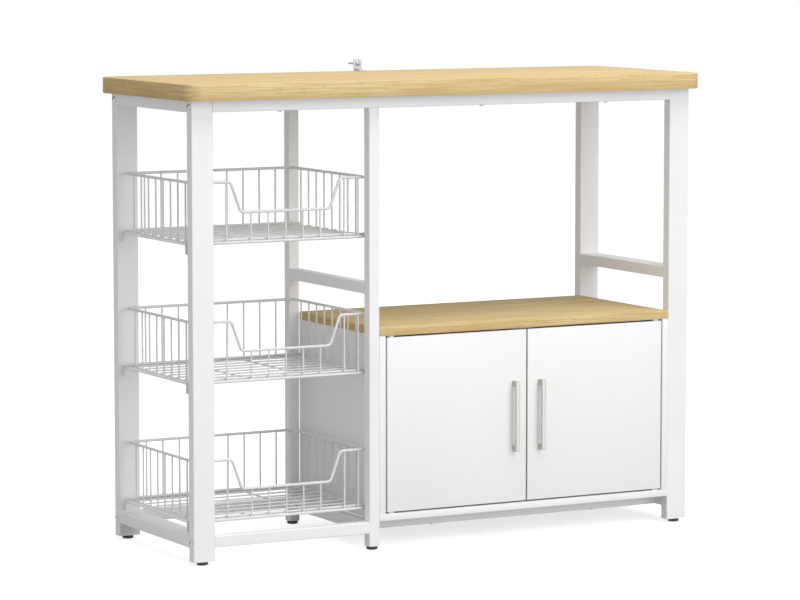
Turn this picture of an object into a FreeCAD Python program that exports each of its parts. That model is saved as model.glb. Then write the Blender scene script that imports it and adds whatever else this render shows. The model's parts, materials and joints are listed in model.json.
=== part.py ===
import FreeCAD, Part
import math
import os
import re

from FreeCAD import Placement, Rotation, Vector

# A microwave cabinet on a white steel tube frame: an oak-effect worktop, three wire baskets in the left
# bay, an open microwave bay above a two-door cabinet in the right bay, and six levelling feet.
# X runs to the right, Y to the back and Z up, from the floor under the middle of the overall box.

doc = FreeCAD.newDocument("microwave_cabinet")
sheet = doc.addObject("Spreadsheet::Sheet", "dims")

# Driving dimensions, in millimetres
DRIVING = [
    # Worktop
    ("worktop_width", 1020.0),
    ("worktop_depth", 377.0),
    ("worktop_thick", 28.0),
    ("worktop_corner", 30.0),
    ("worktop_edge", 1.2),
    ("overall_height", 816.0),
    ("side_overhang", 16.0),
    ("front_overhang", 25.0),
    # Tube frame
    ("post_width", 40.0),
    ("tube", 20.0),
    ("tube_wall", 1.2),
    ("tube_corner", 1.8),
    ("end_plate", 3.0),
    ("basket_bay", 296.5),
    ("low_rail_z", 29.0),
    ("guard_rail_z", 446.0),
    ("bearer_setback", 42.0),
    # Feet
    ("foot_height", 6.0),
    ("foot_diameter", 20.0),
    ("foot_edge", 1.5),
    ("stud_diameter", 6.0),
    ("stud_length", 16.0),
    ("plug_height", 15.0),
    # Cabinet boards and doors
    ("board_thick", 15.0),
    ("panel_thick", 12.0),
    ("cabinet_height", 311.5),
    ("back_panel_thick", 3.0),
    ("door_gap", 3.0),
    ("pivot_inset", 10.0),
    ("pivot_setback", 6.5),
    ("pin_diameter", 5.0),
    ("pin_in_door", 14.0),
    ("pin_end_gap", 1.0),
    ("bush_diameter", 9.0),
    ("bush_depth", 9.0),
    ("bush_flange", 12.0),
    ("dowel_diameter", 6.0),
    ("dowel_in_board", 8.0),
    ("dowel_in_panel", 20.0),
    ("dowel_from_front", 50.0),
    # Handles
    ("handle_length", 126.0),
    ("handle_width", 8.0),
    ("handle_thick", 6.0),
    ("handle_reach", 16.0),
    ("handle_leg", 10.0),
    ("handle_corner", 4.0),
    ("handle_edge", 1.2),
    ("handle_from_edge", 25.0),
    ("handle_screw_diameter", 4.0),
    ("handle_screw_bite", 6.0),
    # Magnetic catch
    ("catch_width", 44.0),
    ("catch_depth", 14.0),
    ("catch_height", 12.0),
    ("strike_width", 16.0),
    ("strike_height", 11.0),
    ("strike_thick", 1.0),
    ("strike_margin", 1.0),
    ("catch_edge", 1.0),
    # Wire baskets and their rods
    ("rod_diameter", 5.0),
    ("rod_inset", 9.5),
    ("rim_wire", 5.0),
    ("mesh_wire", 3.0),
    ("hook_wire", 4.5),
    ("basket_height", 103.0),
    ("basket_floor_gap", 22.0),
    ("basket_headroom", 140.0),
    ("basket_corner", 9.0),
    ("basket_post_gap", 3.0),
    ("dip_depth", 52.0),
    ("dip_margin", 44.25),
    ("dip_slope", 19.0),
    ("front_wire_pitch", 33.0),
    ("back_wire_pitch", 32.0),
    ("side_wire_pitch", 30.0),
    ("tall_wire_gap", 8.5),
    ("tall_wire_pitch", 27.0),
    ("floor_wire_pitch", 32.5),
    ("hook_inset", 6.0),
    ("hook_drop", 21.0),
    ("hook_bend", 5.0),
    ("hook_clearance", 0.8),
    ("rim_clearance", 1.0),
    ("weld_depth", 0.6),
    # Fasteners and fits
    ("bolt_diameter", 6.0),
    ("bolt_head", 10.0),
    ("bolt_head_height", 3.0),
    ("bolt_bite", 8.0),
    ("screw_diameter", 4.0),
    ("screw_head", 8.0),
    ("screw_head_height", 2.4),
    ("screw_bite", 9.0),
    ("screw_from_end", 130.0),
    ("middle_screw_x", 70.0),
    ("hole_runout", 1.0),
    ("nail_diameter", 2.0),
    ("nail_head", 4.5),
    ("nail_head_height", 0.8),
    ("nail_length", 16.0),
    ("hole_clearance", 0.5),
    ("thread_clearance", 0.1),
    ("running_clearance", 0.1),
    ("plug_clearance", 0.1),
    ("wire_clearance", 0.3),
    ("access_hole", 13.0),
    # Wall bracket
    ("bracket_width", 16.0),
    ("bracket_base", 20.0),
    ("bracket_rise", 21.0),
    ("bracket_thick", 1.6),
    ("bracket_hole_z", 13.0),
    ("bracket_bend", 2.6),
    ("bracket_corner", 3.0),
    ("bracket_x", 5.0),
    ("wall_screw_reach", 38.0),
]

# Layout: planes and sizes that follow from the driving dimensions
LAYOUT = [
    ("mid_y", "-wall_screw_reach / 2"),
    ("frame_half", "worktop_width / 2 - side_overhang"),
    ("frame_depth", "worktop_depth - 2 * front_overhang"),
    ("front_y", "mid_y - frame_depth / 2"),
    ("back_y", "mid_y + frame_depth / 2"),
    ("frame_top", "overall_height - worktop_thick"),
    ("top_rail_z", "frame_top - tube"),
    ("post_length", "frame_top - foot_height"),
    ("mid_post_length", "top_rail_z - foot_height"),
    ("inner_left", "post_width - frame_half"),
    ("inner_right", "frame_half - post_width"),
    ("mid_left", "inner_left + basket_bay"),
    ("mid_right", "mid_left + tube"),
    ("side_rail_length", "frame_depth - 2 * tube"),
    ("bearer_front_y", "front_y + bearer_setback"),
    ("bearer_back_y", "back_y - bearer_setback - tube"),
    ("cabinet_width", "inner_right - mid_right"),
    ("cabinet_low", "low_rail_z + tube"),
    ("panel_low", "cabinet_low + panel_thick"),
    ("panel_high", "panel_low + cabinet_height"),
    ("carcass_depth", "frame_depth - tube - back_panel_thick"),
    ("door_width", "(cabinet_width - 2 * panel_thick - 3 * door_gap) / 2"),
    ("door_height", "cabinet_height - 2 * door_gap"),
    ("door_low", "panel_low + door_gap"),
    ("left_door_x", "mid_right + panel_thick + door_gap"),
    ("right_door_x", "left_door_x + door_width + door_gap"),
    ("door_back_y", "front_y + board_thick"),
    ("basket_low_rim", "cabinet_low + basket_floor_gap + basket_height"),
    ("basket_pitch", "(frame_top - basket_headroom - basket_low_rim) / 2"),
    ("basket_mid_x", "(mid_right - frame_half) / 2"),
    ("rod_half", "(mid_right + frame_half) / 2 - rod_inset"),
    ("rim_half_x", "rod_half - rod_diameter / 2 - rim_clearance - rim_wire / 2"),
    ("rim_half_y", "frame_depth / 2 - tube - basket_post_gap - rim_wire / 2"),
    ("dip_mid_x", "(inner_left + mid_left) / 2 - basket_mid_x"),
    ("dip_half_top", "basket_bay / 2 - dip_margin"),
    ("dip_half_low", "dip_half_top - dip_slope"),
    ("hook_y", "rim_half_y - hook_inset"),
    ("hook_half", "rod_half + rod_diameter / 2 + hook_clearance + hook_wire / 2"),
    ("hook_rise", "(rim_wire + hook_wire) / 2 - weld_depth"),
    ("floor_rise", "(rim_wire + mesh_wire) / 2 - weld_depth"),
    ("cross_rise", "floor_rise - mesh_wire + weld_depth"),
    ("rod_drop", "basket_height - hook_rise + hook_wire / 2 + wire_clearance + rod_diameter / 2"),
]


def fill_sheet():
    """Write every dimension and every layout formula into the sheet under its alias."""
    rows = [(name, "%g" % number) for name, number in DRIVING]
    rows += [(name, "=" + formula) for name, formula in LAYOUT]
    for row, (name, content) in enumerate(rows, start=1):
        sheet.set("A%d" % row, name)
        sheet.set("B%d" % row, content)
        sheet.setAlias("B%d" % row, name)
    doc.recompute()


ALIASES = [name for name, _ in DRIVING] + [name for name, _ in LAYOUT]
ALIAS_WORD = re.compile(r"\b(" + "|".join(ALIASES) + r")\b")
AXES = {"x": Vector(1, 0, 0), "y": Vector(0, 1, 0), "z": Vector(0, 0, 1)}
TINY = 1e-6


def bind(thing, **formulas):
    """Bind properties of an object to formulas in the sheet's words."""
    for name, formula in formulas.items():
        thing.setExpression(name.replace("__", "."), ALIAS_WORD.sub(r"dims.\1", formula))


def place(thing, point):
    """Bind an object's place to three formulas."""
    bind(thing, Placement__Base__x=point[0], Placement__Base__y=point[1], Placement__Base__z=point[2])


def turn_to(thing, direction):
    """Turn an object's own Z axis along a direction such as +x or -z."""
    sign = -1 if direction[0] == "-" else 1
    axis = AXES[direction[1]] * sign
    thing.Placement = Placement(Vector(), Rotation(Vector(0, 0, 1), axis))


def opposite(direction):
    """The direction that runs the other way."""
    return ("-" if direction[0] == "+" else "+") + direction[1]


def edge_names(feature, wanted):
    """Names of the feature's edges that pass a test."""
    doc.recompute()
    return ["Edge%d" % n for n, edge in enumerate(feature.Shape.Edges, start=1) if wanted(edge)]


def along(axis):
    """Test for straight edges that run along an axis."""
    def wanted(edge):
        run = edge.Vertexes[-1].Point - edge.Vertexes[0].Point
        return run.Length > TINY and run.cross(AXES[axis]).Length < TINY
    return wanted


def round_edges(body, feature, wanted, radius):
    """Round some edges of a body's newest feature."""
    names = edge_names(feature, wanted)
    fillet = body.newObject("PartDesign::Fillet", body.Name + "_round")
    fillet.Base = (feature, names)
    bind(fillet, Radius=radius)
    return fillet


def block(label, corner, size):
    """Start a body with a plain box: its low corner and its size are formulas."""
    body = doc.addObject("PartDesign::Body", label)
    place(body, corner)
    box = body.newObject("PartDesign::AdditiveBox", label + "_stock")
    bind(box, Length=size[0], Width=size[1], Height=size[2])
    body.Tip = box
    return body, box


def drill(body, corner, direction, mouth, diameter, depth):
    """Sink a round hole into a body from a mouth point given in the overall frame."""
    hole = body.newObject("PartDesign::SubtractiveCylinder", body.Name + "_hole")
    turn_to(hole, direction)
    bind(hole, Radius="(%s) / 2" % diameter, Height=depth)
    place(hole, ["(%s) - (%s)" % pair for pair in zip(mouth, corner)])
    return hole


def cut_box(body, corner, low, size):
    """Cut a box out of a body, given in the overall frame."""
    pocket = body.newObject("PartDesign::SubtractiveBox", body.Name + "_pocket")
    bind(pocket, Length=size[0], Width=size[1], Height=size[2])
    place(pocket, ["(%s) - (%s)" % pair for pair in zip(low, corner)])
    return pocket


def steel_tube(label, corner, size, axis, closed_low=False, closed_high=False):
    """A hollow tube with rounded long edges, open at its ends or closed there by end plates."""
    body, box = block(label, corner, size)
    round_edges(body, box, along(axis), "tube_corner")
    inner_low = ["%s + tube_wall" % c for c in corner]
    inner_size = ["%s - 2 * tube_wall" % s for s in size]
    run = "xyz".index(axis)
    low_stop = "end_plate" if closed_low else "-end_plate"
    high_stop = "end_plate" if closed_high else "-end_plate"
    inner_low[run] = "%s + %s" % (corner[run], low_stop)
    inner_size[run] = "%s - (%s) - (%s)" % (size[run], low_stop, high_stop)
    cut_box(body, corner, inner_low, inner_size)
    return body


def fastener(name, seat, direction, head, head_height, shank, length):
    """One screw or bolt: a domed head on its seat, and a shank that runs along the direction."""
    dome = doc.addObject("Part::Cone", name + "_head")
    turn_to(dome, opposite(direction))
    bind(dome, Radius1="(%s) / 2" % head, Radius2="(%s) / 3" % head, Height=head_height)
    rod = doc.addObject("Part::Cylinder", name + "_shank")
    turn_to(rod, direction)
    bind(rod, Radius="(%s) / 2" % shank, Height=length)
    for piece in (dome, rod):
        place(piece, seat)
    whole = doc.addObject("Part::Fuse", name)
    whole.Base = dome
    whole.Tool = rod
    return whole


def group(label, members):
    """Join like pieces as separate solids of one node."""
    compound = doc.addObject("Part::Compound", label)
    compound.Links = members
    return compound


nodes = []


def keep(thing, label):
    """Name a finished sub-part and put it on the list to be written."""
    thing.Label = label
    nodes.append(thing)


fill_sheet()

# Tube frame: posts stand on the feet, side rails join each pair of posts, long rails tie the frames
FRONT_ROW_Y = "front_y + tube / 2"
BACK_ROW_Y = "back_y - tube / 2"
TOP_BOLT_Z = "top_rail_z + tube / 2"
LOW_BOLT_Z = "low_rail_z + tube / 2"
FREE_HOLE = "bolt_diameter + hole_clearance"
THREAD_HOLE = "bolt_diameter + thread_clearance"
SCREW_FREE_HOLE = "screw_diameter + hole_clearance"
SCREW_PILOT = "screw_diameter + thread_clearance"
MID_POST_X = "mid_left + tube / 2"
ROW_CORNER_Y = {"front": "front_y", "back": "back_y - tube"}
ROW_Y = {"front": FRONT_ROW_Y, "back": BACK_ROW_Y}
bolts = []


def wide_posts():
    """The four wide posts of the two side frames, with holes for the bolts of the long rails."""
    for row in ("front", "back"):
        left = ("-frame_half", ROW_CORNER_Y[row], "foot_height")
        right = ("inner_right", ROW_CORNER_Y[row], "foot_height")
        size = ("post_width", "tube", "post_length")
        body = steel_tube("left_%s_post" % row, left, size, "z")
        for bolt_z in (TOP_BOLT_Z, LOW_BOLT_Z):
            drill(body, left, "+x", ("-frame_half", ROW_Y[row], bolt_z), FREE_HOLE, "post_width")
        keep(body, "left_%s_post" % row)
        body = steel_tube("right_%s_post" % row, right, size, "z")
        drill(body, right, "+x", ("inner_right", ROW_Y[row], TOP_BOLT_Z), FREE_HOLE, "post_width")
        keep(body, "right_%s_post" % row)


def square_posts():
    """The two square posts of the middle frame, closed at the top by a threaded plate."""
    for row in ("front", "back"):
        corner = ("mid_left", ROW_CORNER_Y[row], "foot_height")
        size = ("tube", "tube", "mid_post_length")
        body = steel_tube("middle_%s_post" % row, corner, size, "z", closed_high=True)
        drill(body, corner, "-z", (MID_POST_X, ROW_Y[row], "top_rail_z"), THREAD_HOLE, "end_plate")
        drill(body, corner, "+x", ("mid_left", ROW_Y[row], LOW_BOLT_Z), FREE_HOLE, "tube")
        keep(body, "middle_%s_post" % row)


def side_rails():
    """Rails welded between the front and back posts of each frame."""
    wide = {"left": "-frame_half", "right": "inner_right"}
    for side, x in wide.items():
        heights = {"top": "top_rail_z", "bottom": "low_rail_z"}
        if side == "right":
            heights["guard"] = "guard_rail_z"
        for name, z in heights.items():
            corner = (x, "front_y + tube", z)
            body = steel_tube("%s_%s_side_rail" % (side, name), corner,
                              ("post_width", "side_rail_length", "tube"), "y")
            if side == "right" and name == "bottom":
                for bearer_y in ("bearer_front_y", "bearer_back_y"):
                    mouth = (x, bearer_y + " + tube / 2", LOW_BOLT_Z)
                    drill(body, corner, "+x", mouth, FREE_HOLE, "post_width")
            keep(body, "%s_%s_side_rail" % (side, name))
    for name, z in (("guard", "guard_rail_z"), ("bottom", "low_rail_z")):
        corner = ("mid_left", "front_y + tube", z)
        body = steel_tube("middle_%s_side_rail" % name, corner, ("tube", "side_rail_length", "tube"), "y")
        if name == "bottom":
            for bearer_y in ("bearer_front_y", "bearer_back_y"):
                mouth = ("mid_left", bearer_y + " + tube / 2", LOW_BOLT_Z)
                drill(body, corner, "+x", mouth, FREE_HOLE, "tube")
        keep(body, "middle_%s_side_rail" % name)


WORKTOP_SCREW_X = ("inner_left + screw_from_end", "middle_screw_x", "inner_right - screw_from_end")
BEARER_SCREW_X = ("mid_right + screw_from_end", "inner_right - screw_from_end")


def long_rail(label, corner, length):
    """A square rail along X, closed at both ends by plates threaded for the frame bolts."""
    body = steel_tube(label, corner, (length, "tube", "tube"), "x", closed_low=True, closed_high=True)
    axis_y, axis_z = "%s + tube / 2" % corner[1], "%s + tube / 2" % corner[2]
    drill(body, corner, "+x", (corner[0], axis_y, axis_z), THREAD_HOLE, "end_plate")
    drill(body, corner, "-x", ("%s + %s" % (corner[0], length), axis_y, axis_z), THREAD_HOLE, "end_plate")
    return body


def long_rails():
    """Top rails under the worktop, low rails under the baskets, bearers under the cabinet."""
    for row in ("front", "back"):
        corner = ("inner_left", ROW_CORNER_Y[row], "top_rail_z")
        body = long_rail("%s_top_rail" % row, corner, "2 * inner_right")
        drill(body, corner, "+z", (MID_POST_X, ROW_Y[row], "top_rail_z"), FREE_HOLE, "tube / 2")
        drill(body, corner, "-z", (MID_POST_X, ROW_Y[row], "frame_top"), "access_hole", "tube / 2")
        for x in WORKTOP_SCREW_X:
            drill(body, corner, "+z", (x, ROW_Y[row], "top_rail_z"), SCREW_FREE_HOLE, "tube")
        keep(body, "%s_top_rail" % row)
        corner = ("inner_left", ROW_CORNER_Y[row], "low_rail_z")
        keep(long_rail("%s_basket_rail" % row, corner, "basket_bay"), "%s_basket_rail" % row)
        corner = ("mid_right", "bearer_%s_y" % row, "low_rail_z")
        body = long_rail("%s_cabinet_bearer" % row, corner, "cabinet_width")
        for x in BEARER_SCREW_X:
            mouth = (x, "bearer_%s_y + tube / 2" % row, "low_rail_z")
            drill(body, corner, "+z", mouth, SCREW_FREE_HOLE, "tube")
        keep(body, "%s_cabinet_bearer" % row)


def frame_bolt(seat, direction, through):
    """One bolt through a tube into the end plate of a long rail."""
    name = "frame_bolt_%d" % (len(bolts) + 1)
    bolts.append(fastener(name, seat, direction, "bolt_head", "bolt_head_height", "bolt_diameter",
                          "%s + bolt_bite" % through))


def frame_bolts():
    """Bolts that tie the three frames together, in one node, and the bolts down into the middle posts."""
    post_bolts = []
    for row in ("front", "back"):
        for bolt_z in (TOP_BOLT_Z, LOW_BOLT_Z):
            frame_bolt(("-frame_half", ROW_Y[row], bolt_z), "+x", "post_width")
        frame_bolt(("frame_half", ROW_Y[row], TOP_BOLT_Z), "-x", "post_width")
        frame_bolt(("mid_right", ROW_Y[row], LOW_BOLT_Z), "-x", "tube")
        bearer_y = "bearer_%s_y + tube / 2" % row
        frame_bolt(("mid_left", bearer_y, LOW_BOLT_Z), "+x", "tube")
        frame_bolt(("frame_half", bearer_y, LOW_BOLT_Z), "-x", "post_width")
        seat = (MID_POST_X, ROW_Y[row], "top_rail_z + tube_wall")
        post_bolts.append(fastener("post_bolt_" + row, seat, "-z", "bolt_head", "bolt_head_height",
                                   "bolt_diameter", "tube_wall + bolt_bite"))
    keep(group("frame_bolts", bolts), "frame_bolts")
    keep(group("middle_post_bolts", post_bolts), "middle_post_bolts")


# Feet: a plastic plug with a thread in each post, and a pad on a stud that turns in it
POST_SPOTS = {
    "left_front": ("-frame_half", "front_y", "post_width"),
    "left_back": ("-frame_half", "back_y - tube", "post_width"),
    "middle_front": ("mid_left", "front_y", "tube"),
    "middle_back": ("mid_left", "back_y - tube", "tube"),
    "right_front": ("inner_right", "front_y", "post_width"),
    "right_back": ("inner_right", "back_y - tube", "post_width"),
}


def feet():
    """Six feet, and the group of plugs that they screw into."""
    plugs = []
    plug_gap = "(tube_wall + plug_clearance)"
    plug_thread = "stud_diameter + running_clearance"
    for spot, (x, y, width) in POST_SPOTS.items():
        centre = ("%s + %s / 2" % (x, width), "%s + tube / 2" % y)
        corner = ("%s + %s" % (x, plug_gap), "%s + %s" % (y, plug_gap), "foot_height")
        plug, _ = block("plug_" + spot, corner,
                        ("%s - 2 * %s" % (width, plug_gap), "tube - 2 * %s" % plug_gap, "plug_height"))
        drill(plug, corner, "+z", centre + ("foot_height",), plug_thread, "plug_height")
        plugs.append(plug)

        foot = doc.addObject("PartDesign::Body", "foot_" + spot)
        place(foot, centre + ("0",))
        pad = foot.newObject("PartDesign::AdditiveCylinder", "pad_" + spot)
        bind(pad, Radius="foot_diameter / 2", Height="foot_height - wire_clearance")
        round_edges(foot, pad, lambda edge: edge.BoundBox.ZMax < TINY, "foot_edge")
        stud = foot.newObject("PartDesign::AdditiveCylinder", "stud_" + spot)
        bind(stud, Radius="stud_diameter / 2", Height="foot_height + stud_length")
        keep(foot, "foot_" + spot)
    keep(group("foot_plugs", plugs), "foot_plugs")


# Worktop: a thick board with rounded corners, screwed down from under the top rails
WORKTOP_BACK_Y = "mid_y + worktop_depth / 2"
BRACKET_SCREW_Y = WORKTOP_BACK_Y + " - bracket_base / 2"
PILOT_DEPTH = "screw_bite + hole_runout"


def wood_screw(name, seat, direction, length):
    """One of the screws that hold the boards."""
    return fastener(name, seat, direction, "screw_head", "screw_head_height", "screw_diameter", length)


def worktop():
    """The worktop board and the screws that hold it."""
    corner = ("-worktop_width / 2", "mid_y - worktop_depth / 2", "frame_top")
    body, box = block("worktop", corner, ("worktop_width", "worktop_depth", "worktop_thick"))
    rounded = round_edges(body, box, along("z"), "worktop_corner")
    thickness = float(sheet.get("worktop_thick"))

    def on_a_face(edge):
        bounds = edge.BoundBox
        return bounds.ZMax < TINY or bounds.ZMin > thickness - TINY

    round_edges(body, rounded, on_a_face, "worktop_edge")
    screws = []
    for row in ("front", "back"):
        for number, x in enumerate(WORKTOP_SCREW_X, start=1):
            drill(body, corner, "+z", (x, ROW_Y[row], "frame_top"), SCREW_PILOT, PILOT_DEPTH)
            screws.append(wood_screw("worktop_screw_%s_%d" % (row, number), (x, ROW_Y[row], "top_rail_z"),
                                     "+z", "tube + screw_bite"))
    drill(body, corner, "-z", ("bracket_x", BRACKET_SCREW_Y, "overall_height"), SCREW_PILOT, PILOT_DEPTH)
    keep(body, "worktop")
    keep(group("worktop_screws", screws), "worktop_screws")


# Wall bracket: a small steel angle on the worktop's back edge, with a screw down and a screw to the wall
def wall_bracket():
    """The bent angle bracket and its two screws."""
    corner = ("bracket_x - bracket_width / 2", WORKTOP_BACK_Y + " - bracket_base", "overall_height")
    body, box = block("wall_bracket", corner, ("bracket_width", "bracket_base", "bracket_rise"))
    base = float(sheet.get("bracket_base"))
    rise = float(sheet.get("bracket_rise"))
    outer_bend = round_edges(
        body, box,
        lambda edge: along("x")(edge) and edge.BoundBox.YMin > base - TINY and edge.BoundBox.ZMax < TINY,
        "bracket_bend")
    top_corners = round_edges(
        body, outer_bend,
        lambda edge: along("y")(edge) and edge.BoundBox.ZMin > rise - TINY,
        "bracket_corner")
    round_edges(
        body, top_corners,
        lambda edge: along("z")(edge) and edge.BoundBox.YMax < TINY,
        "bracket_corner")
    cut_box(body, corner, (corner[0], corner[1], "overall_height + bracket_thick"),
            ("bracket_width", "bracket_base - bracket_thick", "bracket_rise"))
    base_hole = ("bracket_x", BRACKET_SCREW_Y, "overall_height")
    drill(body, corner, "+z", base_hole, SCREW_FREE_HOLE, "bracket_thick")
    wall_hole = ("bracket_x", WORKTOP_BACK_Y + " - bracket_thick", "overall_height + bracket_hole_z")
    drill(body, corner, "+y", wall_hole, SCREW_FREE_HOLE, "bracket_thick")
    keep(body, "wall_bracket")
    seat = ("bracket_x", BRACKET_SCREW_Y, "overall_height + bracket_thick")
    keep(wood_screw("wall_bracket_screw", seat, "-z", "bracket_thick + screw_bite"), "wall_bracket_screw")
    keep(wood_screw("wall_screw", wall_hole, "+y", "bracket_thick + wall_screw_reach"), "wall_screw")


# Cabinet: boards joined by dowels, standing on the bearers, with the microwave shelf as its top
DOWEL_Y = ("front_y + dowel_from_front", "front_y + carcass_depth - dowel_from_front")
DOWEL_HOLE = "dowel_diameter + thread_clearance"
PANEL_DOWEL_DEPTH = "dowel_in_panel + hole_runout"
DOWEL_X = ("mid_right + panel_thick / 2", "inner_right - panel_thick / 2")
PIVOT_X = {"left": "left_door_x + pivot_inset", "right": "right_door_x + door_width - pivot_inset"}
PIVOT_Y = "front_y + pivot_setback"
BUSH_HOLE = "bush_diameter + thread_clearance"
NAIL_HOLE = "nail_diameter + thread_clearance"
NAILS_PER_SIDE = 3


def cabinet_board(label, low_z, depth, thick, joint_z, joint_way):
    """A level board as wide as the cabinet, with the dowel and bush holes in its inner face."""
    corner = ("mid_right", "front_y", low_z)
    body, _ = block(label, corner, ("cabinet_width", depth, thick))
    for x in DOWEL_X:
        for y in DOWEL_Y:
            drill(body, corner, joint_way, (x, y, joint_z), DOWEL_HOLE, "dowel_in_board + hole_runout")
    for x in PIVOT_X.values():
        drill(body, corner, joint_way, (x, PIVOT_Y, joint_z), BUSH_HOLE, "bush_depth + hole_runout")
    return body, corner


def cabinet():
    """Shelf, bottom panel, side panels, back panel, and what joins them."""
    body, _ = cabinet_board("microwave_shelf", "panel_high", "carcass_depth + back_panel_thick",
                            "board_thick", "panel_high", "+z")
    keep(body, "microwave_shelf")

    body, corner = cabinet_board("cabinet_bottom_panel", "cabinet_low", "carcass_depth", "panel_thick",
                                 "panel_low", "-z")
    screws = []
    for row in ("front", "back"):
        for number, x in enumerate(BEARER_SCREW_X, start=1):
            y = "bearer_%s_y + tube / 2" % row
            drill(body, corner, "+z", (x, y, "cabinet_low"), SCREW_PILOT, PILOT_DEPTH)
            screws.append(wood_screw("bearer_screw_%s_%d" % (row, number), (x, y, "low_rail_z"),
                                     "+z", "tube + screw_bite"))
    keep(body, "cabinet_bottom_panel")

    dowels = []
    nails = []
    back_corner = ("mid_right", "front_y + carcass_depth", "cabinet_low")
    back_board, _ = block("cabinet_back_panel", back_corner,
                          ("cabinet_width", "back_panel_thick", "cabinet_height + panel_thick"))
    nail_depth = "nail_length - back_panel_thick + hole_runout"
    nail_heights = ["panel_low + cabinet_height * (%d + 0.5) / %d" % (number, NAILS_PER_SIDE)
                    for number in range(NAILS_PER_SIDE)]
    sides = {"left": "mid_right", "right": "inner_right - panel_thick"}
    for side, x in sides.items():
        corner = (x, "front_y", "panel_low")
        panel, _ = block("cabinet_%s_panel" % side, corner,
                         ("panel_thick", "carcass_depth", "cabinet_height"))
        centre_x = x + " + panel_thick / 2"
        for y in DOWEL_Y:
            drill(panel, corner, "+z", (centre_x, y, "panel_low"), DOWEL_HOLE, PANEL_DOWEL_DEPTH)
            drill(panel, corner, "-z", (centre_x, y, "panel_high"), DOWEL_HOLE, PANEL_DOWEL_DEPTH)
            for low_z in ("panel_low - dowel_in_board", "panel_high - dowel_in_panel"):
                dowel = doc.addObject("Part::Cylinder", "dowel")
                bind(dowel, Radius="dowel_diameter / 2", Height="dowel_in_board + dowel_in_panel")
                place(dowel, (centre_x, y, low_z))
                dowels.append(dowel)
        for z in nail_heights:
            drill(panel, corner, "-y", (centre_x, back_corner[1], z), NAIL_HOLE, nail_depth)
            mouth = (centre_x, back_corner[1] + " + back_panel_thick", z)
            drill(back_board, back_corner, "-y", mouth, NAIL_HOLE, "back_panel_thick")
            drill(back_board, back_corner, "-y", mouth, "nail_head + hole_clearance", "nail_head_height")
            flush_seat = (centre_x, mouth[1] + " - nail_head_height", z)
            nails.append(fastener("nail_%d" % (len(nails) + 1), flush_seat, "-y", "nail_head",
                                  "nail_head_height", "nail_diameter", "nail_length - nail_head_height"))
        keep(panel, "cabinet_%s_panel" % side)
    keep(back_board, "cabinet_back_panel")
    keep(group("bearer_screws", screws), "bearer_screws")
    keep(group("panel_dowels", dowels), "panel_dowels")
    keep(group("back_panel_nails", nails), "back_panel_nails")


# Doors: inset boards that turn on steel pins in flanged bushes, with bow handles and a magnetic catch
DOOR_X = {"left": "left_door_x", "right": "right_door_x"}
HANDLE_X = {
    "left": "left_door_x + door_width - handle_from_edge",
    "right": "right_door_x + handle_from_edge",
}
HANDLE_Z = "door_low + door_height / 2"
HANDLE_LEG_Z = (HANDLE_Z + " - (handle_length - handle_leg) / 2",
                HANDLE_Z + " + (handle_length - handle_leg) / 2")


def door(side):
    """One door board with its pin and handle holes."""
    corner = (DOOR_X[side], "front_y", "door_low")
    body, _ = block("%s_door" % side, corner, ("door_width", "board_thick", "door_height"))
    pin_hole = "pin_diameter + thread_clearance"
    pin_depth = "pin_in_door + hole_runout"
    drill(body, corner, "+z", (PIVOT_X[side], PIVOT_Y, "door_low"), pin_hole, pin_depth)
    drill(body, corner, "-z", (PIVOT_X[side], PIVOT_Y, "door_low + door_height"), pin_hole, pin_depth)
    for z in HANDLE_LEG_Z:
        drill(body, corner, "-y", (HANDLE_X[side], "door_back_y", z),
              "handle_screw_diameter + hole_clearance", "board_thick")
    keep(body, "%s_door" % side)


def handle(side):
    """One square bow handle with rounded corners, and the screws that reach its legs through the door."""
    corner = (HANDLE_X[side] + " - handle_width / 2", "front_y - handle_reach",
              HANDLE_Z + " - handle_length / 2")
    body, box = block("%s_door_handle" % side, corner, ("handle_width", "handle_reach", "handle_length"))
    reach = float(sheet.get("handle_reach"))
    corners = round_edges(
        body, box,
        lambda edge: along("x")(edge) and edge.BoundBox.YMax < TINY,
        "handle_corner")
    round_edges(
        body, corners,
        lambda edge: edge.BoundBox.XLength < TINY and edge.BoundBox.YMin < reach - TINY,
        "handle_edge")
    cut_box(body, corner, (corner[0], "front_y - handle_reach + handle_thick", corner[2] + " + handle_leg"),
            ("handle_width", "handle_reach - handle_thick", "handle_length - 2 * handle_leg"))
    screws = []
    for number, z in enumerate(HANDLE_LEG_Z, start=1):
        drill(body, corner, "-y", (HANDLE_X[side], "front_y", z), "handle_screw_diameter + thread_clearance",
              "handle_screw_bite + hole_runout")
        seat = (HANDLE_X[side], "door_back_y", z)
        screws.append(fastener("%s_handle_screw_%d" % (side, number), seat, "-y", "screw_head",
                               "screw_head_height", "handle_screw_diameter",
                               "board_thick + handle_screw_bite"))
    keep(body, "%s_door_handle" % side)
    keep(group("%s_handle_screws" % side, screws), "%s_handle_screws" % side)


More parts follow.
